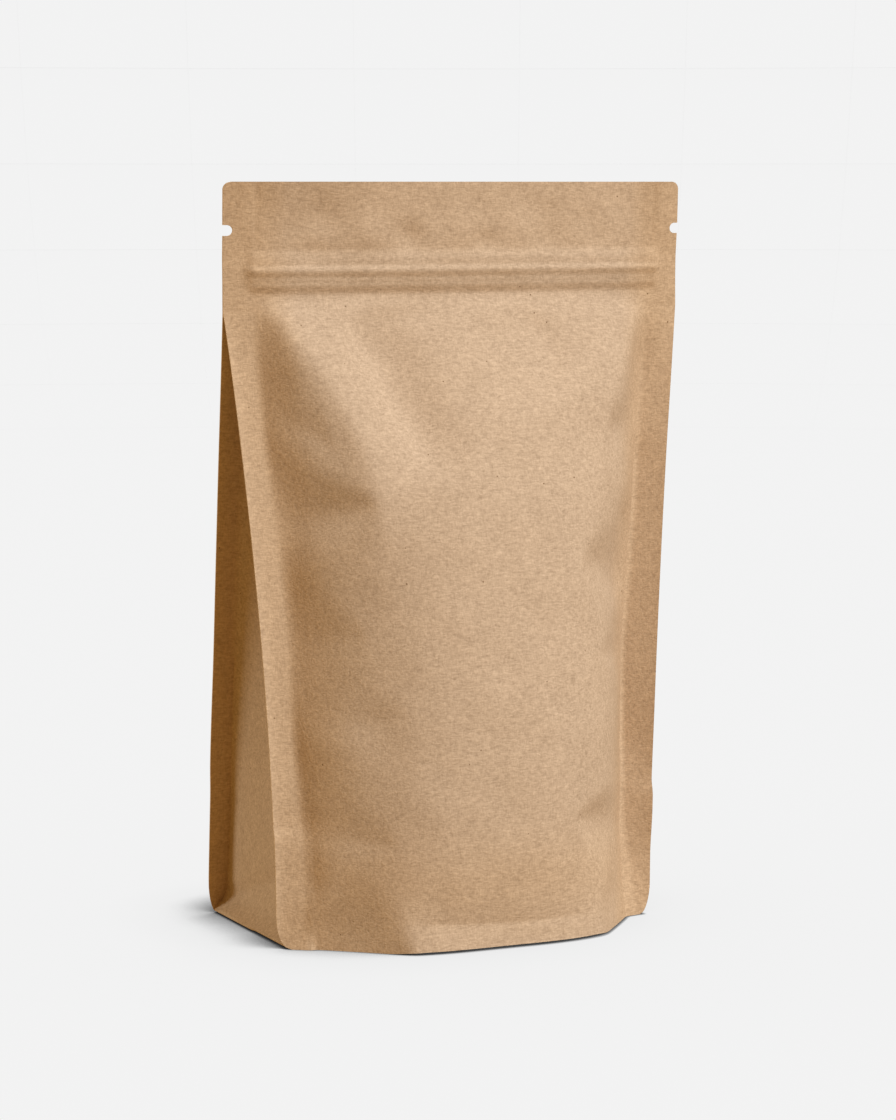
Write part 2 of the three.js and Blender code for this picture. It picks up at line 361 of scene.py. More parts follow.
def fin_rise(inset, side, z, turns, kinks):
    """Rise of a fin over its plane at a distance in from its outer edge."""
    inset = np.clip(inset, 0, FIN_WIDTH)
    turn = by_side(side, turns, z)
    curl = np.where(side < 0, *EDGE_CURLS) * (1 - np.exp(-inset / CURL_WIDTH)) * (1 - smooth(z, *CURL_FADE))
    rise = floor_lean(side, z) * inset / FIN_WIDTH - turn * inset + curl
    for kink in kinks:
        low, high, sharp, gentle = kink["low"], kink["high"], kink["sharp"], kink["gentle"]
        bend = smooth(z, low - sharp, low + sharp) * (1 - smooth(z, high - gentle, high + gentle))
        rise = rise + np.where(side == kink["side"], kink["push"] * bend * (1 - inset / FIN_WIDTH), 0)
    return rise


both = np.array([-1.0, 1.0])
root_rise = fin_rise(FIN_WIDTH, both, 100, FRONT_TURNS, FRONT_KINKS)
print("rise of the front fin roots at 100 mm:", root_rise.round(1))

# %% [markdown]
# ## The panel surface
# The belly of a filled pouch is close to a piece of a cylinder from fin to fin. It rises fast below the strip
# and turns into a flat-fronted foot near the floor, where the bottom seal holds it upright. All of this is
# one height function per panel, which is easier to keep smooth than many separate sculpting strokes.

# %% Height of a panel over its fin plane
BELLY_TOP = 195.5
BELLY_RISE = 33.0
BELLY_START = 4.5
BELLY_POWER = 2.7
FLOOR_POWER = 0.6
FOOT_SLACK = 0.1
FOOT_SLACK_TOP = 70.0
ROOT_FILLETS = (1.4, 1.0)
ROOT_SHIFTS = {
    -1: [(0, 1.5), (20, -0.2), (70, 1.5), (95, 0.3), (150, 1.4), (190, 0.7)],
    1: [(0, 4.1), (13, 3.1), (32, 1.4), (50, 1.1), (80, 0.1), (110, 1.0), (140, 0.9), (190, 0.0)],
}
FOOT_FACETS = {
    -1: dict(slope=1.0, start=2.1, top=8.6),
    1: dict(slope=1.16, start=3.4, top=50.0),
}
FOOT_RIDGE = 1.2
FACET_EDGE = 1.0
RELIEF_START = (0, 6)
RELIEF_END = (187, 195)
RELIEF_INSET = (0, 0.15)
LEAN_FALL = 2
FIN_FALL = 6
SEAM_PULLS = {
    -1: [(0, -0.2), (30, 0.4), (60, 0.0), (78, -0.25), (94, 0.0), (126, -0.25), (174, 0.5), (190, 0.0)],
    1: [(0, -0.05), (30, 0.0), (60, -0.1), (90, -0.1), (150, 0.1), (190, 0.0)],
}
SEAM_PULL_WIDTH = 6.0
SEAL_HOLLOW = 1.55
SEAL_FADE = 9.6
SEAL_TOP = 7.2
SEAL_BOW = 0.001
SEAL_MIDDLE = 12
SEAL_LEFT_END = (-36, -18)
SEAL_RIGHT_END = (22, 33)
FRONT = dict(belly=30.4, folds=FRONT_FOLDS, creases=FRONT_CREASES, dimples=FRONT_DIMPLES,
             turns=FRONT_TURNS, kinks=FRONT_KINKS, seed=1.7)
BACK = dict(belly=21.5, folds=BACK_FOLDS, creases=BACK_CREASES, dimples=BACK_DIMPLES,
            turns=BACK_TURNS, kinks=BACK_KINKS, seed=4.1)


def seal_relief(u, z):
    """The bottom seal leans back a little, and the belly hollows in just above it."""
    top = SEAL_TOP + SEAL_BOW * (u - SEAL_MIDDLE) ** 2
    lean = np.where(z < top, z / top, np.exp(-(z - top) / SEAL_FADE))
    return -SEAL_HOLLOW * lean * smooth(u, *SEAL_LEFT_END) * (1 - smooth(u, *SEAL_RIGHT_END))


def panel_rise(x, z, belly, folds, creases, dimples, turns, kinks, seed):
    """Height of one panel over its fin plane: belly, folds, foot facets, seams, relief, fins and strip."""
    level = level_at(z)
    u = x - level.middle
    side = np.where(u < 0, -1.0, 1.0)
    inner = level.half - FIN_WIDTH + by_side(side, ROOT_SHIFTS, z)
    inward = soft_clip(inner - np.abs(u), np.where(u < 0, *ROOT_FILLETS))
    part = 1 - np.clip(inward / inner, 0, 1)
    swell = belly * (1 - np.exp(-rounded(np.clip(BELLY_TOP - z, 0, None), BELLY_START) / BELLY_RISE))
    swell = swell * (1 - FOOT_SLACK * np.clip(1 - z / FOOT_SLACK_TOP, 0, 1) ** 2)
    bulge = swell * (1 - part ** (BELLY_POWER + FLOOR_POWER * level.foot))
    for fold in folds:
        bulge = bulge * (1 - seam_fold(u, z, inner, **fold))
    for edge, flat in FOOT_FACETS.items():
        facet = flat["slope"] * soft_clip(inward - flat["start"] * (1 - z / flat["top"]), FACET_EDGE)
        bulge = np.where(side == edge, bulge - soft_clip(bulge - facet, FOOT_RIDGE), bulge)
    bulge = bulge + by_side(side, SEAM_PULLS, z) * inward * np.exp(-inward / SEAM_PULL_WIDTH)
    relief = waviness(u, z, seed)
    for line in creases:
        relief = relief + crease(u, z, **line)
    for hollow in dimples:
        relief = relief + dimple(u, z, **hollow)
    inside = smooth(1 - part, *RELIEF_INSET) * smooth(z, *RELIEF_START) * (1 - smooth(z, *RELIEF_END))
    fin = fin_rise(level.half - np.abs(u), side, z, turns, kinks)
    lean = floor_lean(side, z)
    fin = np.where(inward > 0, lean * part ** LEAN_FALL + (fin - lean) * part ** FIN_FALL, fin)
    return bulge + relief * inside + seal_relief(u, z) + fin + strip_relief(x, z)


def front_y(x, z):
    return level_at(z).front - panel_rise(x, z, **FRONT)


def back_y(x, z):
    return level_at(z).back + panel_rise(x, z, **BACK)


probe = np.array([0.0])
print("front at 60 mm:", front_y(probe, probe + 60).round(1), "back:", back_y(probe, probe + 60).round(1))

# %% [markdown]
# ## The bow of the header
# The filling pushes the header into a slight bow, so it isn't a flat board: its middle stands a few
# millimetres ahead of its corners. It is also a little wavy, with soft dents, swells and short creases above
# the strip, and its top leans. Both sheets follow all of this, so it is one shift for every point.

# %% Shift forward of all sheets
HEADER_BOW = 6.0
BOW_RUN = (140, 200)
RELIEF_RUN = (185, 205)
LEAN_FROM = 206.0
HEADER_LEANS = [
    (-76, 0.02), (-70, 0.08), (-58, 0.13), (-34, 0.13), (-22, 0.08), (-8, 0.0), (24, -0.02), (54, 0.0),
    (62, 0.03), (69, 0.1), (76, 0.06),
]
HEADER_DIMPLES = [
    dict(place=(-18, 212), size=(4.5, 4.4), depth=1.0),
    dict(place=(7.5, 210.6), size=(4, 3), depth=0.65),
    dict(place=(-47, 211), size=(7, 4), depth=-0.5),
    dict(place=(-31, 211), size=(6, 5), depth=-0.55),
    dict(place=(-1, 213), size=(5, 6), depth=-0.42),
    dict(place=(18, 214), size=(5, 6), depth=-0.42),
]
HEADER_CREASES = [
    dict(start=(-64, 211), end=(-44, 220), left=5, right=4, height=-0.5),
    dict(start=(27, 209), end=(29, 222), left=4, right=5, height=-0.4),
    dict(start=(47, 209), end=(42, 219), left=4, right=5, height=-0.4),
]
HEADER_SEED = 2.9


def header_shift(x, z):
    """How far forward a point stands through the bow, the lean and the unevenness of the header."""
    bow = HEADER_BOW * (1 - np.clip(x / HEADER_HALF, -1, 1) ** 2) * smooth(z, *BOW_RUN)
    relief = waviness(x, z, HEADER_SEED)
    for hollow in HEADER_DIMPLES:
        relief = relief + dimple(x, z, **hollow)
    for line in HEADER_CREASES:
        relief = relief + crease(x, z, **line)
    lean = np.interp(x, *zip(*HEADER_LEANS)) * np.clip(z - LEAN_FROM, 0, None)
    return bow + (relief + lean) * smooth(z, *RELIEF_RUN)


print("shift of the strip's middle:", header_shift(probe, probe + RIDGE_Z).round(1))

# %% [markdown]
# ## Rows and columns of the sheet
# A grid is only as good as its spacing. Rows are close together where the strip, the notches and the bottom
# seal are, and wider on the plain belly. Columns are even across each fin and slightly closer next to it.

# %% Spacing of rows and columns
NOTCH_LIP = 0.02
NOTCH_LOW = NOTCH_Z - NOTCH_RADIUS
NOTCH_HIGH = NOTCH_Z + NOTCH_RADIUS
ROW_STOPS = [
    (9.0, 14), (36.0, 20), (172.0, 86), (FIN_SPLIT_Z, 14), (194.4, 8), (209.6, 42), (NOTCH_LOW, 4),
    (NOTCH_LOW + NOTCH_LIP, 1), (NOTCH_HIGH - NOTCH_LIP, 12), (NOTCH_HIGH, 1), (HEIGHT - TOP_CORNER, 8),
    (HEIGHT, 8),
]
row_heights = [0.0]
for stop, count in ROW_STOPS:
    row_heights += list(np.linspace(row_heights[-1], stop, count + 1)[1:])
row_heights = np.array(row_heights)
ROWS = len(row_heights) - 1
SPLIT_ROW = int(np.argmin(np.abs(row_heights - FIN_SPLIT_Z)))
FIN_COLUMNS = 12
INNER_COLUMNS = 130
COLUMNS = INNER_COLUMNS + 2 * FIN_COLUMNS
FACE_STEPS = 5
FOLD_STEPS = 24
SIDE_STEPS = FOLD_STEPS + 2 * FACE_STEPS + 2
print("rows", ROWS, "columns", COLUMNS, "split row", SPLIT_ROW)

# %% [markdown]
# ## A square tube of paper
# Makers of such pouches start from flat webs that are folded and sealed into a tube. The mesh starts the same
# way: two flat grids, one unit for each row and column, stand facing each other and are bridged along their
# sides. At this stage it looks like a plain open carton, and each point's place tells its row and column.

# %% Helpers for selecting
def only(piece):
    bpy.ops.object.select_all(action="DESELECT")
    piece.select_set(True)
    bpy.context.view_layer.objects.active = piece


def select_edges(piece, test):
    """Select the edges that pass a test of the edge and its two ends, in edit mode, and count them."""
    bpy.ops.mesh.select_mode(type="EDGE")
    bpy.ops.mesh.select_all(action="DESELECT")
    edit = bmesh.from_edit_mesh(piece.data)
    chosen = 0
    for edge in edit.edges:
        if test(edge, edge.verts[0].co, edge.verts[1].co):
            edge.select_set(True)
            chosen += 1
    bmesh.update_edit_mesh(piece.data)
    return chosen


# %% Two flat sheets
def flat_sheet(depth):
    bpy.ops.object.select_all(action="DESELECT")
    bpy.ops.mesh.primitive_grid_add(x_subdivisions=COLUMNS, y_subdivisions=ROWS, size=1.0)
    sheet = bpy.context.object
    bpy.ops.object.mode_set(mode="EDIT")
    bpy.ops.mesh.select_all(action="SELECT")
    bpy.ops.transform.resize(value=(COLUMNS, ROWS, 1))
    bpy.ops.transform.rotate(value=-math.pi / 2, orient_axis="X", center_override=(0, 0, 0))
    bpy.ops.transform.translate(value=(COLUMNS / 2, depth, ROWS / 2))
    bpy.ops.object.mode_set(mode="OBJECT")
    return sheet


front_sheet = flat_sheet(0)
back_sheet = flat_sheet(SIDE_STEPS)
bpy.ops.object.select_all(action="DESELECT")
back_sheet.select_set(True)
front_sheet.select_set(True)
bpy.context.view_layer.objects.active = front_sheet
bpy.ops.object.join()
pouch = bpy.context.object
pouch.name = "pouch_paper"
pouch.data.name = "pouch_paper"
print("points in both sheets:", len(pouch.data.vertices), "expected", 2 * (ROWS + 1) * (COLUMNS + 1))

# %% Bridge the folded sides, the header's edges and the top
NEAR = 0.01
HALF_STEP = 0.5


def at(value, wanted):
    return abs(value - wanted) < NEAR


def bridge(cuts):
    bpy.ops.mesh.bridge_edge_loops(number_cuts=cuts, interpolation="LINEAR", smoothness=0)


only(pouch)
bpy.ops.object.mode_set(mode="EDIT")
for column in (0, COLUMNS):
    low = select_edges(pouch, lambda e, a, b: at(a.x, column) and at(b.x, column)
                       and max(a.z, b.z) < SPLIT_ROW + NEAR)
    bridge(SIDE_STEPS - 1)
    high = select_edges(pouch, lambda e, a, b: at(a.x, column) and at(b.x, column)
                        and min(a.z, b.z) > SPLIT_ROW - NEAR and abs(a.z - b.z) > HALF_STEP)
    bridge(0)
    select_edges(pouch, lambda e, a, b: e.is_boundary and at(a.x, column) and at(b.x, column)
                 and at(a.z, SPLIT_ROW) and at(b.z, SPLIT_ROW))
    bpy.ops.mesh.edge_face_add()
    print("bridged edges at column", column, ":", low, high)
select_edges(pouch, lambda e, a, b: at(a.z, ROWS) and at(b.z, ROWS) and at(a.y, b.y))
bridge(0)

# %% [markdown]
# ## The folded base
# Below the bottom seal the paper turns in and is folded flat. The open lower edge is extruded again and
# again, one unit down each time, and those rings become the base: a thin rim, a shallow hollow behind it, a
# middle that lies just off the floor, and a fold line where front and back halves meet.

# %% Extrude the base rings
BASE_RINGS = 14
for ring in range(BASE_RINGS):
    select_edges(pouch, lambda e, a, b: e.is_boundary and at(a.z, -ring) and at(b.z, -ring))
    bpy.ops.mesh.extrude_edges_move(TRANSFORM_OT_translate={"value": (0, 0, -1)})
bpy.ops.object.mode_set(mode="OBJECT")
print("points with the base rings:", len(pouch.data.vertices))

# %% [markdown]
# ## Mark the cut edges
# Where the sheet is cut, along the fins, the header's sides and its top, the paler inside of the paper shows
# as a thin line. Those narrow faces are easy to find now, while every point still lies on its row and column,
# so they get a second material slot before the shape changes.

# %% Second slot for the cut edges
pouch.data.materials.clear()
for name in ("kraft_sheet", "kraft_cut_edge"):
    pouch.data.materials.append(bpy.data.materials.new(name))


def on_cut_edge(place):
    """Whether a face with its middle at this place is one of the narrow cut faces."""
    beside_fin = at(place.y, HALF_STEP) or at(place.y, SIDE_STEPS - HALF_STEP)
    between_sheets = at(place.y, SIDE_STEPS / 2)
    at_side = at(place.x, 0) or at(place.x, COLUMNS)
    header_side = between_sheets and at_side and place.z > SPLIT_ROW + HALF_STEP - NEAR
    header_top = between_sheets and at(place.z, ROWS)
    return place.z > 0 and (beside_fin or header_side or header_top)


only(pouch)
bpy.ops.object.mode_set(mode="EDIT")
bpy.ops.mesh.select_mode(type="FACE")
bpy.ops.mesh.select_all(action="DESELECT")
edit = bmesh.from_edit_mesh(pouch.data)
for face in edit.faces:
    face.select_set(on_cut_edge(face.calc_center_median()))
bmesh.update_edit_mesh(pouch.data)
pouch.active_material_index = 1
bpy.ops.object.material_slot_assign()
bpy.ops.object.mode_set(mode="OBJECT")
print("cut edge faces:", sum(face.material_index == 1 for face in pouch.data.polygons))

# %% [markdown]
# ## Press the tube into the pouch
# Now every point is moved from its row and column to its place on the pouch. Points of the two big grids go
# to the panel surfaces, points of the bridged sides run along the inside of the fins and over the side fold,
# and the rings below go to the base. It is the same as pulling points with a brush, but exact and repeatable.

# %% Points on the panels
EVEN_SHARE = 0.8
CLOSER_SHARE = 0.2


def column_place(column, step, z):
    """Place across the pouch of a column: even on the fins, slightly closer beside them."""
    level = level_at(z)
    tip = level.half - edge_cut(z, (column < COLUMNS / 2) & (step < SIDE_STEPS / 2))
    inner = level.half - FIN_WIDTH
    t = (column - COLUMNS / 2) / (INNER_COLUMNS / 2)
    inside = inner * (EVEN_SHARE * t + CLOSER_SHARE * np.sin(np.clip(t, -1, 1) * math.pi / 2))
    over = np.clip((np.abs(column - COLUMNS / 2) - INNER_COLUMNS / 2) / FIN_COLUMNS, 0, 1)
    on_fin = np.sign(t) * (inner + (tip - inner) * over)
    return level.middle + np.where(np.abs(t) > 1, on_fin, inside)


print("outer columns at 100 mm:", column_place(np.array([0, COLUMNS]), 0, 100).round(1))

# %% Points on the folded sides
CORNER_SEAL = 15.0
SIDE_FOLD = 20.0
SIDE_FLAT = 54.0
FOLD_POWER = 1.3
LEAST_ROOT = 0.3
CORNER_POWER = 2.5
CUT_CLEARANCE = 0.05
BACK_SEAL_LESS = 3.2
BACK_SEAL_RUN = (3, 12)
SIDE_CREASE = 1.6
SIDE_CREASE_LOW = 4.0
SIDE_CREASE_RISE = 11.0
SIDE_CREASE_WIDTH = 5.0
SIDE_CREASE_START = (0, 6)
SIDE_CREASE_FALL = 4


def side_place(step, side, z):
    """Along the inside of the front fin, over the side fold and back along the inside of the back fin."""
    level = level_at(z)
    cut = edge_cut(z, (side < 0) & (step < SIDE_STEPS / 2))
    spread = np.clip(1 - z / CORNER_SEAL, 0, 1)
    width = FIN_WIDTH - BACK_SEAL_LESS * smooth(step, 0, SIDE_STEPS) * smooth(z, *BACK_SEAL_RUN)
    root = np.maximum(width - (width - LEAST_ROOT) * spread ** CORNER_POWER, cut + CUT_CLEARANCE)
    fold = SIDE_FOLD * (z / SPREAD_Z) * smooth(z, 0, SIDE_FLAT)
    from_front = (step - 1) / FACE_STEPS
    from_back = (SIDE_STEPS - 1 - step) / FACE_STEPS
    near = np.clip(np.minimum(from_front, from_back), 0, 1)
    t = np.clip((step - SIDE_STEPS / 2) / (FOLD_STEPS / 2), -1, 1)
    inset = cut + (root - cut) * near
    front_in = level.front + FIN_THICK - fin_rise(inset, side, z, FRONT_TURNS, FRONT_KINKS)
    back_in = level.back - FIN_THICK + fin_rise(inset, side, z, BACK_TURNS, BACK_KINKS)
    from_crease = np.abs(z - SIDE_CREASE_LOW - SIDE_CREASE_RISE * (1 - t))
    pressed = SIDE_CREASE * np.exp(-from_crease / SIDE_CREASE_WIDTH)
    pressed = pressed * (1 - t ** SIDE_CREASE_FALL) * smooth(z, *SIDE_CREASE_START)
    inset = np.where(np.abs(t) < 1, root + fold * (1 - np.abs(t) ** FOLD_POWER) + pressed, inset)
    y = front_in + (back_in - front_in) * (t + 1) / 2
    return level.middle + side * (level.half - inset), y


fold_x, fold_y = side_place(SIDE_STEPS / 2, both, probe + 100)
print("fold lines at 100 mm, x:", fold_x.round(1), "y:", fold_y.round(1))

# %% Points of the base
BASE_FOLD_HALF = 38.0
BASE_FOLD_Y = 2.6
BASE_STOPS = [0.0, 0.02, 0.035, 0.06, 0.1, 0.15, 0.21, 0.28, 0.36, 0.46, 0.57, 0.69, 0.82, 0.94, 1.0]
BASE_RIM = 0.03
BASE_CLEARANCE = 0.12
BASE_HOLLOW = 2.2
HOLLOW_START = (0.02, 0.08)
HOLLOW_END = (0.12, 0.42)
BASE_FOLD_RISE = 0.5
BASE_FOLD_START = (0.9, 1.0)


def base_place(ring, x, y):
    """A ring lies part of the way from the rim, which touches the floor, to the fold line in the middle."""
    s = np.interp(ring, np.arange(len(BASE_STOPS)), BASE_STOPS)
    fold_end = FLOOR_SHIFT + np.clip(x - FLOOR_SHIFT, -BASE_FOLD_HALF, BASE_FOLD_HALF)
    hollow = BASE_HOLLOW * smooth(s, *HOLLOW_START) * (1 - smooth(s, *HOLLOW_END))
    rise = BASE_FOLD_RISE * smooth(s, *BASE_FOLD_START)
    z = hollow + BASE_CLEARANCE + rise - BASE_CLEARANCE * (s < BASE_RIM)
    return x + (fold_end - x) * s, y + (BASE_FOLD_Y - y) * s, z


print("height of the base rings:", base_place(np.arange(BASE_RINGS + 1), 0, 0)[2].round(1))

# %% Lift of the front edge
EDGE_LIFT = 0.8
LIFT_LEFT_END = (-44, -28)
LIFT_RIGHT_END = (30, 40)
LIFT_FORWARD = (44, 51)
LIFT_FADE = 6


def edge_lift(x, y, z):
    """The sealed front edge doesn't quite touch the floor."""
    across = smooth(x, *LIFT_LEFT_END) * (1 - smooth(x, *LIFT_RIGHT_END))
    return EDGE_LIFT * across * smooth(-y, *LIFT_FORWARD) * np.exp(-np.clip(z, 0, None) / LIFT_FADE)


print("lift of the front edge's middle:", edge_lift(probe, front_y(probe, probe), probe).round(2))

# %% Move every point
MERGE_DISTANCE = 0.00001
SMOOTH_ANGLE = math.radians(60)


def points_of(mesh):
    """The places of all points, one row of x, y and z for each."""
    flat = np.empty(len(mesh.vertices) * 3)
    mesh.vertices.foreach_get("co", flat)
    return flat.reshape(-1, 3)


def press_into_shape(mesh):
    column, step, row = points_of(mesh).round(3).T
    z = np.interp(row, np.arange(ROWS + 1), row_heights)
    x = column_place(column, step, z)
    y = np.where(step < HALF_STEP, front_y(x, z), back_y(x, z))
    on_side = (step > HALF_STEP) & (step < SIDE_STEPS - HALF_STEP)
    side = np.where(column < 1, -1.0, 1.0)
    side_x, side_y = side_place(step, side, z)
    x = np.where(on_side, side_x, x)
    y = np.where(on_side, side_y, y) - header_shift(x, z)
    below = row < -HALF_STEP
    x, y, z = np.where(below, base_place(-row, x, y), (x, y, z))
    placed = np.stack([x, y, z + edge_lift(x, y, z)], 1) * MM
    mesh.vertices.foreach_set("co", placed.ravel())
    mesh.update()


press_into_shape(pouch.data)
only(pouch)
bpy.ops.object.mode_set(mode="EDIT")
bpy.ops.mesh.select_all(action="SELECT")
bpy.ops.mesh.remove_doubles(threshold=MERGE_DISTANCE)
bpy.ops.mesh.normals_make_consistent(inside=False)
bpy.ops.object.mode_set(mode="OBJECT")
bpy.ops.object.shade_smooth_by_angle(angle=SMOOTH_ANGLE)
pouch.data.calc_loop_triangles()
print("triangles:", len(pouch.data.loop_triangles))

# %% [markdown]
# ## Browner borders: heat seal and painted bounce light
# Where heat has sealed the paper to the film behind it, along the fins, the bottom and the header, it looks
# slightly browner. The same tint runs on past the fins over the edge of the belly and over a band low on the
# panels, and there it is painted warm bounce light, the deeper brown of the paper in the shade of the fins
# and the foot. A number on each point says how much, so the colour follows the border, and the paper's finish
# reads it.

# %% Mark the browner borders: seal and painted bounce light
# Where the brown tint lies. Beside the fins and in the low band it is painted warm bounce light.
FIN_TINT_END = 2.5 * FIN_WIDTH
LOW_TINT = 0.6
LOW_TINT_Z = 20
LOW_TINT_RISE = 14
TOP_SEAL = 0.35
TOP_SEAL_RUN = (205, 210)
ON_PANEL = 0.5
MOSTLY = 0.5


def seal_and_bounce_share(x, y, z):
    """Brown tint of a front or back panel point, 0 to 1: seal and painted warm bounce light."""
    level = level_at(z)
    fins = 1 - smooth(level.half - np.abs(x - level.middle), FIN_WIDTH, FIN_TINT_END)
    low = LOW_TINT * np.exp(-((z - LOW_TINT_Z) / LOW_TINT_RISE) ** 2)
    top = TOP_SEAL * smooth(z, *TOP_SEAL_RUN)
    unbowed = y + header_shift(x, z)
    from_panel = np.minimum(np.abs(unbowed - front_y(x, z)), np.abs(unbowed - back_y(x, z)))
    return np.maximum(np.maximum(fins, low), top) * (from_panel < ON_PANEL)


shares = seal_and_bounce_share(*(points_of(pouch.data).T / MM))
# Stored on the points: browner seals and painted warm bounce light.
seal_and_bounce_layer = pouch.data.attributes.new("seal_and_bounce", "FLOAT", "POINT")
seal_and_bounce_layer.data.foreach_set("value", shares.astype(np.float32))
print("points on sealed borders:", int((shares > MOSTLY).sum()), "of", len(shares))

# %% [markdown]
# ## Kraft paper
# Brown kraft paper is matt and made of fibres that lie every way in the sheet. Close up it shows a fine pale
# and dark fleck, a faint cloudiness and here and there a dark speck of bark. One node group makes these
# patterns from the object's own coordinates, so the sheet and its cut edge can share them.

# %% Helpers for node trees
MIDDLE_TONE = 0.5


def new_group(name, inputs, outputs):
    group = bpy.data.node_groups.new(name, "ShaderNodeTree")
    for label, kind, value in inputs:
        socket = group.interface.new_socket(name=label, in_out="INPUT", socket_type=kind)
        if value is not None:
            socket.default_value = value
    for label, kind in outputs:
        group.interface.new_socket(name=label, in_out="OUTPUT", socket_type=kind)
    return group, group.nodes.new("NodeGroupInput"), group.nodes.new("NodeGroupOutput")


def add(tree, kind, **values):
    """Add a node. Each value goes to the input of that name, or else to the node's own setting."""
    node = tree.nodes.new(kind)
    for key, value in values.items():
        if key in node.inputs:
            node.inputs[key].default_value = value
        else:
            setattr(node, key, value)
    return node


def math_node(tree, operation, first, second):
    node = add(tree, "ShaderNodeMath", operation=operation)
    for socket, value in zip(node.inputs, (first, second)):
        if hasattr(value, "links"):
            tree.links.new(value, socket)
        else:
            socket.default_value = value
    return node.outputs[0]


def weighted(tree, parts):
    """Sum of patterns, each taken around its middle value and times its weight."""
    total = MIDDLE_TONE
    for pattern, weight in parts:
        around = math_node(tree, "SUBTRACT", pattern, MIDDLE_TONE)
        total = math_node(tree, "ADD", math_node(tree, "MULTIPLY", around, weight), total)
    return total


# %% Fibre pattern as a node group
FIBRE_SCALE = 1500.0
BEND_SCALE = 380.0
FIBRE_WARP = 0.0012
MOTTLE_SCALE = 420.0
CLOUD_SCALE = 60.0

fibres, fibre_in, fibre_out = new_group(
    "paper_fibres",
    [("Vector", "NodeSocketVector", None), ("Fibre Scale", "NodeSocketFloat", FIBRE_SCALE)],
    [("Tone", "NodeSocketFloat"), ("Speck", "NodeSocketFloat"), ("Height", "NodeSocketFloat")])


def noise_layer(vector, scale, detail, roughness):
    noise = add(fibres, "ShaderNodeTexNoise", Detail=detail, Roughness=roughness)
    fibres.links.new(vector, noise.inputs["Vector"])
    if hasattr(scale, "links"):
        fibres.links.new(scale, noise.inputs["Scale"])
    else:
        noise.inputs["Scale"].default_value = scale
    return noise


def fibre_layer(stretch, turn):
    """Noise drawn out along one direction and bent by a slower noise, like fibres in a sheet."""
    bend = noise_layer(fibre_in.outputs["Vector"], BEND_SCALE, detail=1.0, roughness=0.5)
    shift = add(fibres, "ShaderNodeVectorMath", operation="MULTIPLY_ADD")
    shift.inputs[1].default_value = (FIBRE_WARP, FIBRE_WARP, FIBRE_WARP)
    fibres.links.new(bend.outputs["Color"], shift.inputs[0])
    fibres.links.new(fibre_in.outputs["Vector"], shift.inputs[2])
    place = add(fibres, "ShaderNodeMapping", Rotation=turn, Scale=stretch)
    fibres.links.new(shift.outputs[0], place.inputs["Vector"])
    drawn = noise_layer(place.outputs["Vector"], fibre_in.outputs["Fibre Scale"], detail=2.0, roughness=0.55)
    return drawn.outputs["Fac"]


lying = fibre_layer(stretch=(0.32, 1.0, 1.35), turn=(0.1, 0.08, 0.2))
standing = fibre_layer(stretch=(1.3, 1.0, 0.45), turn=(0.2, -0.7, 0.1))
mottle = noise_layer(fibre_in.outputs["Vector"], MOTTLE_SCALE, detail=3.0, roughness=0.6).outputs["Fac"]
cloud = noise_layer(fibre_in.outputs["Vector"], CLOUD_SCALE, detail=2.0, roughness=0.5).outputs["Fac"]
tone = weighted(fibres, [(lying, 0.75), (standing, 0.5), (mottle, 0.28), (cloud, 0.12)])
fibres.links.new(tone, fibre_out.inputs["Tone"])
height = weighted(fibres, [(lying, 0.6), (standing, 0.5), (mottle, 0.4)])
fibres.links.new(height, fibre_out.inputs["Height"])
print("nodes that make the fibres:", len(fibres.nodes))

# %% Dark specks
GRAIN_SCALE = 260.0
SPECK_RADIUS = 0.065
GRAINS_LEFT_OUT = 0.88

grains = add(fibres, "ShaderNodeTexVoronoi", feature="F1", Scale=GRAIN_SCALE)
fibres.links.new(fibre_in.outputs["Vector"], grains.inputs["Vector"])
near_grain = math_node(fibres, "LESS_THAN", grains.outputs["Distance"], SPECK_RADIUS)
grain_kind = add(fibres, "ShaderNodeSeparateColor")
fibres.links.new(grains.outputs["Color"], grain_kind.inputs[0])
rare_grain = math_node(fibres, "GREATER_THAN", grain_kind.outputs[0], GRAINS_LEFT_OUT)
fibres.links.new(math_node(fibres, "MULTIPLY", near_grain, rare_grain), fibre_out.inputs["Speck"])
print("nodes in the fibre group:", len(fibres.nodes))

# %% [markdown]
# ## Two finishes: the sheet and its cut edge
# The sheet's colour runs between a darker and a paler brown as the fibres do. The cut edge is the same paper
# with less of its brown surface, so it takes the same pattern with paler colours. Specks and the browner
# borders, part seal and part painted warm bounce light, are mixed in on the way to the shader.

# %% Mixing a tint into a colour
SPECK_BROWN = (0.2, 0.12, 0.06, 1)
# Brown of the sealed borders, which also paints the warm bounce light in the shade beside the fins and foot.
SEAL_AND_BOUNCE_BROWN = (1.0, 0.95, 0.865, 1)
MIX_FIRST = 6
MIX_SECOND = 7
MIX_RESULT = 2


def tinted(tree, blend, share, colour, tint):
    """A colour with a tint blended in by a share that changes over the surface."""
    mix = add(tree, "ShaderNodeMix", data_type="RGBA", blend_type=blend)
    tree.links.new(share, mix.inputs["Factor"])
    tree.links.new(colour, mix.inputs[MIX_FIRST])
    mix.inputs[MIX_SECOND].default_value = tint
    return mix.outputs[MIX_RESULT]


# %% Paper materials
TONE_RANGE = (0.2, 0.8)
ROUGHNESS_SPREAD = 0.08
PAPER_SPECULAR = 0.2
BUMP_STRENGTH = 0.5


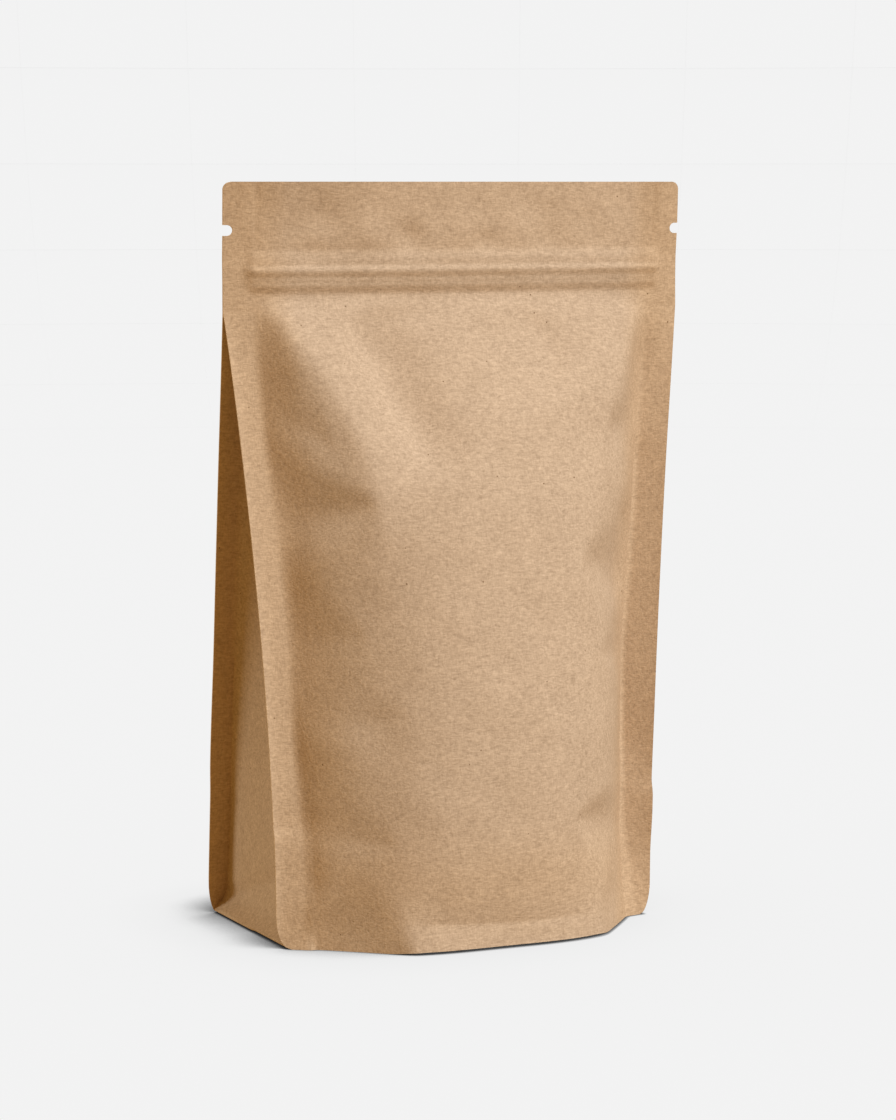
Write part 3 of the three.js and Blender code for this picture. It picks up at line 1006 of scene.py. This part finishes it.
def finish_paper(name, dark, pale, roughness, bump_height):
    material = bpy.data.materials[name]
    material.use_nodes = True
    tree = material.node_tree
    shader = tree.nodes["Principled BSDF"]
    place = add(tree, "ShaderNodeTexCoord")
    pattern = add(tree, "ShaderNodeGroup", node_tree=fibres)
    tree.links.new(place.outputs["Object"], pattern.inputs["Vector"])
    ramp = add(tree, "ShaderNodeValToRGB")
    for element, position, brown in zip(ramp.color_ramp.elements, TONE_RANGE, (dark, pale)):
        element.position = position
        element.color = (*brown, 1)
    tree.links.new(pattern.outputs["Tone"], ramp.inputs["Fac"])
    specked = tinted(tree, "MIX", pattern.outputs["Speck"], ramp.outputs["Color"], SPECK_BROWN)
    # Browner where the paper is sealed and where warm bounce light is painted in.
    seal_and_bounce = add(tree, "ShaderNodeAttribute", attribute_name="seal_and_bounce")
    browned = tinted(tree, "MULTIPLY", seal_and_bounce.outputs["Fac"], specked, SEAL_AND_BOUNCE_BROWN)
    tree.links.new(browned, shader.inputs["Base Color"])
    rough = add(tree, "ShaderNodeMapRange")
    rough.inputs["To Min"].default_value = roughness - ROUGHNESS_SPREAD
    rough.inputs["To Max"].default_value = roughness + ROUGHNESS_SPREAD
    tree.links.new(pattern.outputs["Tone"], rough.inputs["Value"])
    tree.links.new(rough.outputs[0], shader.inputs["Roughness"])
    shader.inputs["Specular IOR Level"].default_value = PAPER_SPECULAR
    bump = add(tree, "ShaderNodeBump", Strength=BUMP_STRENGTH, Distance=bump_height)
    tree.links.new(pattern.outputs["Height"], bump.inputs["Height"])
    tree.links.new(bump.outputs["Normal"], shader.inputs["Normal"])


finish_paper("kraft_sheet", dark=(0.34, 0.232, 0.146), pale=(0.62, 0.452, 0.304), roughness=0.84,
             bump_height=0.00025)
finish_paper("kraft_cut_edge", dark=(0.5, 0.36, 0.24), pale=(0.68, 0.52, 0.37), roughness=0.9,
             bump_height=0.0001)
print("materials:", [m.name for m in pouch.data.materials])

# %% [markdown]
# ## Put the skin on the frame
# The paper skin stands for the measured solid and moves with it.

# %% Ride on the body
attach(pouch, "root")
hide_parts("pouch")
print("skin on the frame:", pouch.name)

# %% [markdown]
# ## A pale sweep
# Product pictures are taken on a white sweep without a horizon. The floor is a disc whose rim curves up all
# round, so the picture has no edge from any side. It glows evenly and takes no light, so its shadows are
# painted: the glow is darker where the pouch hides the room from it, most away from the key light. These
# painted soft shadows lie round the foot, a painted dark line lies under the lifted front edge, and the rest
# stays even.

# %% Round sweep
FLOOR_RADIUS = 1.9
RIM_RADIUS = 1.2
RIM_STEPS = 12
SWEEP_SIDES = 96


def round_sweep():
    bpy.ops.object.select_all(action="DESELECT")
    bpy.ops.mesh.primitive_circle_add(vertices=SWEEP_SIDES, radius=FLOOR_RADIUS, fill_type="NGON")
    disc = bpy.context.object
    disc.name = "studio_sweep"
    bpy.ops.object.mode_set(mode="EDIT")
    reach, lift = FLOOR_RADIUS, 0.0
    for step in range(1, RIM_STEPS + 1):
        angle = step / RIM_STEPS * math.pi / 2
        radius = FLOOR_RADIUS + RIM_RADIUS * math.sin(angle)
        height = RIM_RADIUS * (1 - math.cos(angle))
        select_edges(disc, lambda e, a, b: e.is_boundary)
        bpy.ops.mesh.extrude_edges_move(TRANSFORM_OT_translate={"value": (0, 0, height - lift)})
        bpy.ops.transform.resize(value=(radius / reach, radius / reach, 1), center_override=(0, 0, 0))
        reach, lift = radius, height
    bpy.ops.object.mode_set(mode="OBJECT")
    bpy.ops.object.shade_smooth()
    return disc


sweep = round_sweep()
sweep.visible_diffuse = False
sweep.visible_glossy = False
print("sweep faces:", len(sweep.data.polygons))

# %% Finish of the sweep
SWEEP_GLOW = (0.893, 0.893, 0.893, 1)
# Painted soft shadows round the foot: each darkens the glow by its weight where the pouch hides the sky.
SHADES = [
    (0.78, dict(reach=0.026, lean=50.0, low=0.41, high=0.8)),
    (0.12, dict(reach=0.04, lean=30.0)),
    (0.06, dict(reach=0.25, lean=0.0)),
]
SHADE_TURN = math.radians(40)
SHADE_SAMPLES = 12
# Painted dark line of shadow under the lifted front edge.
GAP_SHADOW = dict(reach=0.0015, lean=-60.0)

white = bpy.data.materials.new("sweep_white")
white.use_nodes = True
sweep_tree = white.node_tree
white_shader = sweep_tree.nodes["Principled BSDF"]
white_shader.inputs["Base Color"].default_value = (0, 0, 0, 1)
white_shader.inputs["Roughness"].default_value = 1.0
white_shader.inputs["Specular IOR Level"].default_value = 0.0
white_shader.inputs["Emission Color"].default_value = SWEEP_GLOW


def open_share(reach, lean, low=0.0, high=1.0):
    """Share of the sky that a floor point sees within the reach, round a line that leans to the front right
    by some degrees, or away from it if they are negative."""
    node = add(sweep_tree, "ShaderNodeAmbientOcclusion", Distance=reach, samples=SHADE_SAMPLES)
    aside = math.sin(math.radians(lean))
    upward = add(sweep_tree, "ShaderNodeCombineXYZ", X=aside * math.sin(SHADE_TURN),
                 Y=-aside * math.cos(SHADE_TURN), Z=math.cos(math.radians(lean)))
    sweep_tree.links.new(upward.outputs[0], node.inputs["Normal"])
    spread = add(sweep_tree, "ShaderNodeMapRange")
    spread.inputs["From Min"].default_value = low
    spread.inputs["From Max"].default_value = high
    sweep_tree.links.new(node.outputs["AO"], spread.inputs["Value"])
    return spread.outputs[0]


glow = 1 - sum(weight for weight, shade in SHADES)
for weight, shade in SHADES:
    glow = math_node(sweep_tree, "ADD", math_node(sweep_tree, "MULTIPLY", open_share(**shade), weight), glow)
# The painted shadow under the front edge darkens the glow once more, squared.
gap_shadow = open_share(**GAP_SHADOW)
glow = math_node(sweep_tree, "MULTIPLY", glow, math_node(sweep_tree, "MULTIPLY", gap_shadow, gap_shadow))
sweep_tree.links.new(glow, white_shader.inputs["Emission Strength"])
sweep.data.materials.append(white)
print("sweep nodes:", len(sweep_tree.nodes))

# %% [markdown]
# ## Light
# One broad light from the front right and above models the folds, and a dim warm room fills the rest. Two
# weak lights from behind lift the folded sides and the back. The broad light is a sun with a wide disc, so
# the edges of shadows stay soft.

# %% Key light
KEY_AZIMUTH = 28
KEY_ELEVATION = 42
KEY_ENERGY = 4.36
KEY_COLOUR = (0.77, 0.877, 1.0)
KEY_DISC = math.radians(30)


def aim(azimuth, elevation):
    """Rotation of a light that shines on the pouch. Azimuth is counted from the front towards the right."""
    return (math.pi / 2 - math.radians(elevation), 0, math.radians(azimuth))


bpy.ops.object.light_add(type="SUN", rotation=aim(KEY_AZIMUTH, KEY_ELEVATION))
key_light = bpy.context.object
key_light.name = "key_light"
key_light.data.energy = KEY_ENERGY
key_light.data.color = KEY_COLOUR
key_light.data.angle = KEY_DISC
print("key light:", key_light.name)

# %% Lights from behind
FILL_RISE = 10
FILL_DISTANCE = 1.6
FILL_LIFT = 0.1
FILL_SIZE = 0.5
FILL_COLOUR = (0.93, 1.0, 1.0)


def back_fill(name, azimuth, energy):
    """A weak broad light from behind."""
    turn, rise = math.radians(azimuth), math.radians(FILL_RISE)
    place = (FILL_DISTANCE * math.sin(turn) * math.cos(rise),
             -FILL_DISTANCE * math.cos(turn) * math.cos(rise),
             FILL_DISTANCE * math.sin(rise) + FILL_LIFT)
    bpy.ops.object.light_add(type="AREA", location=place, rotation=aim(azimuth, FILL_RISE))
    light = bpy.context.object
    light.name = name
    light.data.size = FILL_SIZE
    light.data.energy = energy
    light.data.color = FILL_COLOUR


back_fill("fill_left", azimuth=-118, energy=9)
back_fill("fill_right", azimuth=150, energy=18)
print("lights:", len(bpy.data.lights))

# %% Room
ROOM_COLOUR = (1.0, 0.62, 0.2, 1)
ROOM_STRENGTH = 0.46

room = bpy.data.worlds.new("warm_room")
room.use_nodes = True
background = room.node_tree.nodes["Background"]
background.inputs["Color"].default_value = ROOM_COLOUR
background.inputs["Strength"].default_value = ROOM_STRENGTH
scene.world = room
scene.view_settings.view_transform = "Standard"
print("room:", room.name)
